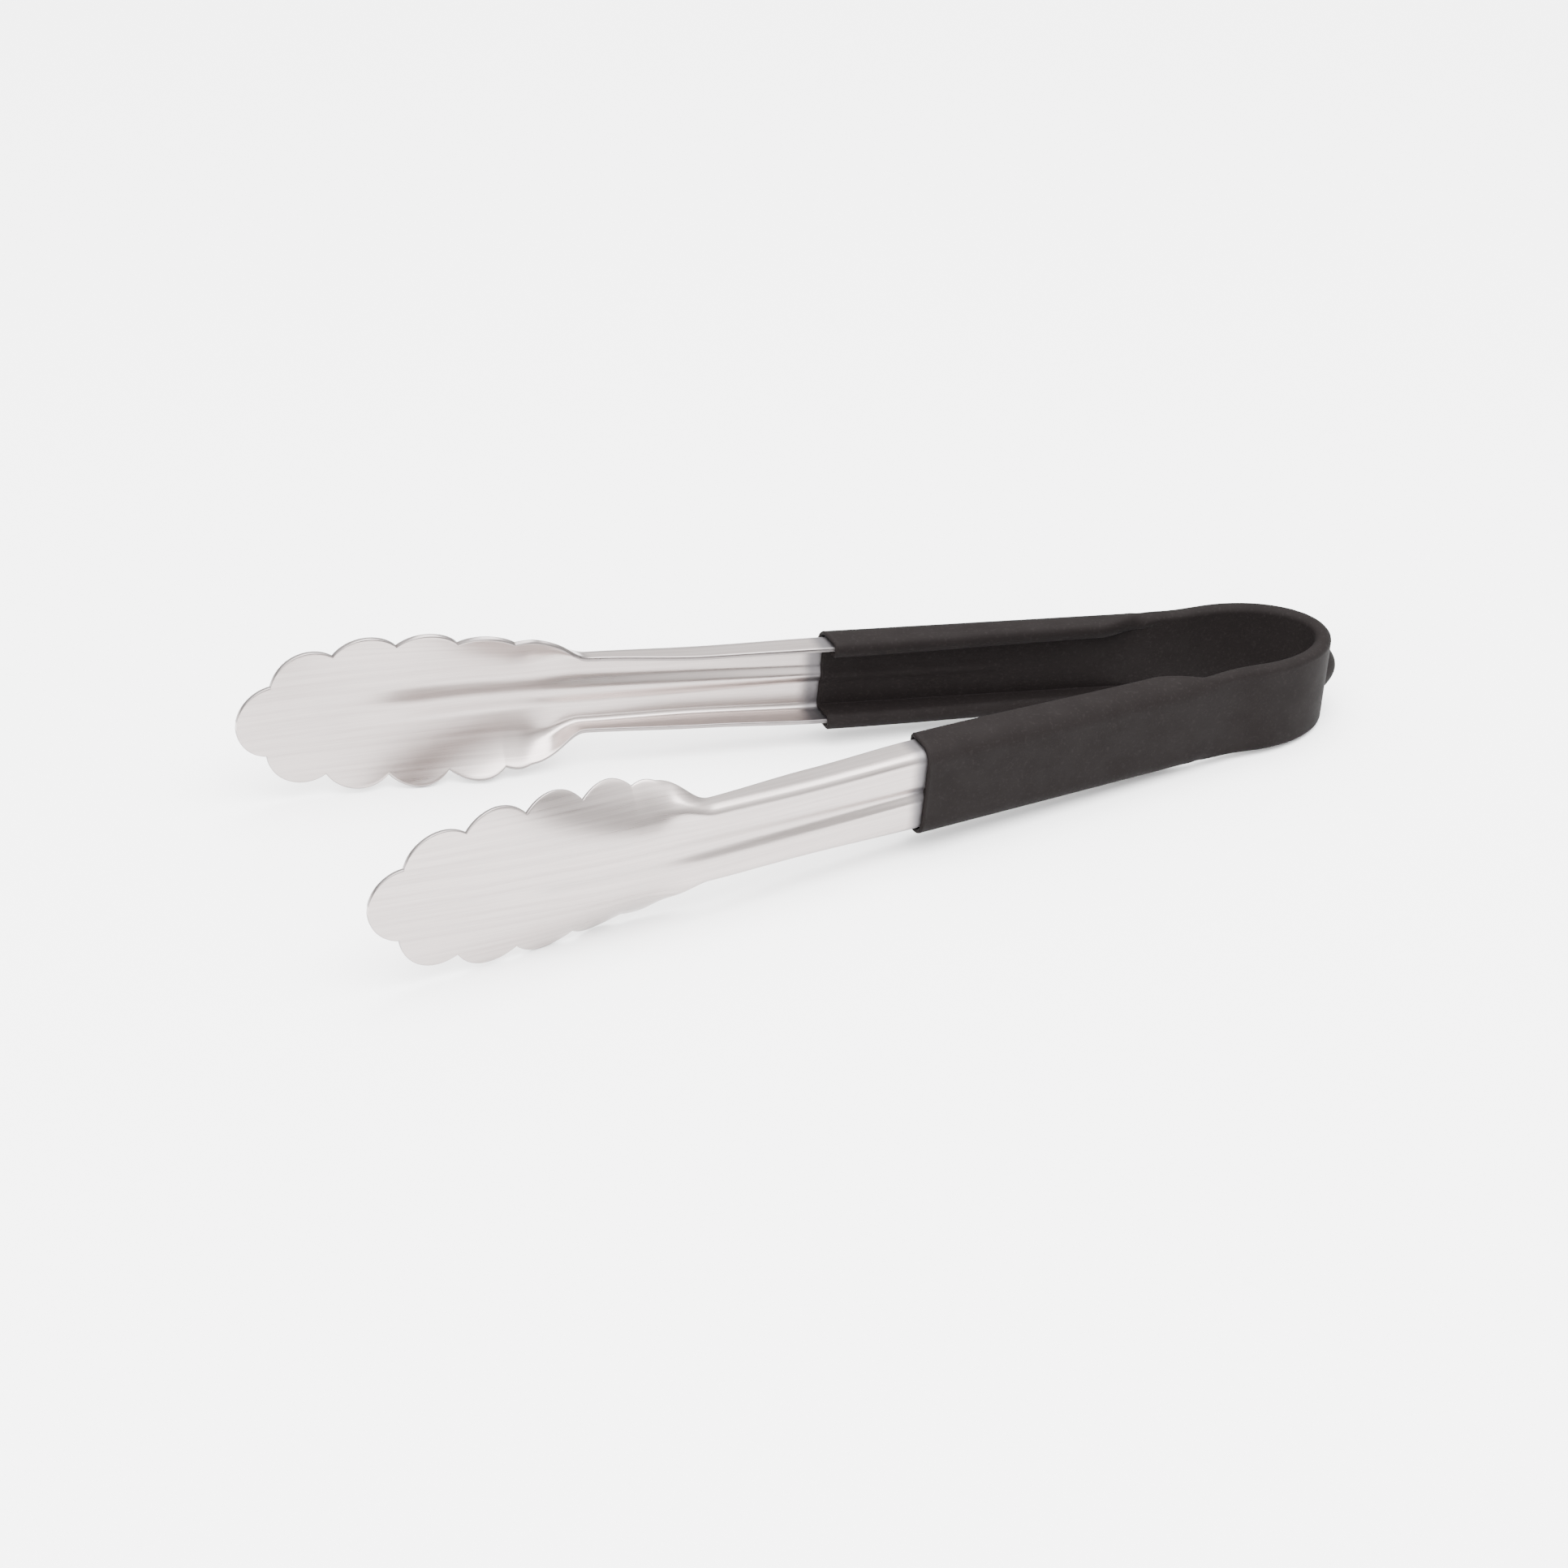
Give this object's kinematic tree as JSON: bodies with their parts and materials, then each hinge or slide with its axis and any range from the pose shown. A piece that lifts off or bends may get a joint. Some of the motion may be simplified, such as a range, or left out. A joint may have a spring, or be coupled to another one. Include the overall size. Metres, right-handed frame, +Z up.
{
  "type": "kitchen tongs",
  "caption": "One piece sprung kitchen tongs lying on their side: scalloped scoop heads, channel arms and a U shaped bow under a dip moulded grip coat.",
  "frame": {"origin": "middle of the footprint of the resting tongs, on the surface they lie on", "axes": "+X towards the bow, -X towards the heads; +Y across the opening, towards the far arm; +Z up, along the width of the strip"},
  "size_m": [0.239, 0.0764, 0.0368],
  "materials": {
    "steel": "stainless sheet, fine brushing along the arms",
    "grip_coat": "soft matte charcoal PVC, dip moulded"
  },
  "bodies": {
    "bow": {"bow_spring": "steel", "bow_grip": "grip_coat"},
    "near_arm": {"near_arm_steel": "steel", "near_grip": "grip_coat"},
    "far_arm": {"far_arm_steel": "steel", "far_grip": "grip_coat"}
  },
  "joints": [
    {"name": "near_arm_squeeze", "type": "hinge", "parent": "bow", "child": "near_arm", "pos_m": [0.10792, -0.0085, 0.01058], "axis": [-0.0413, 0, -0.9991], "range_deg": [0, 9.2], "stiffness_Nm_per_rad": 2.5},
    {"name": "far_arm_squeeze", "type": "hinge", "parent": "bow", "child": "far_arm", "pos_m": [0.10792, 0.0085, 0.01058], "axis": [0.0413, 0, 0.9991], "range_deg": [0, 9.2], "stiffness_Nm_per_rad": 2.5}
  ],
  "couplings": [
    {"joint": "far_arm_squeeze", "follows": "near_arm_squeeze", "ratio": 1}
  ]
}
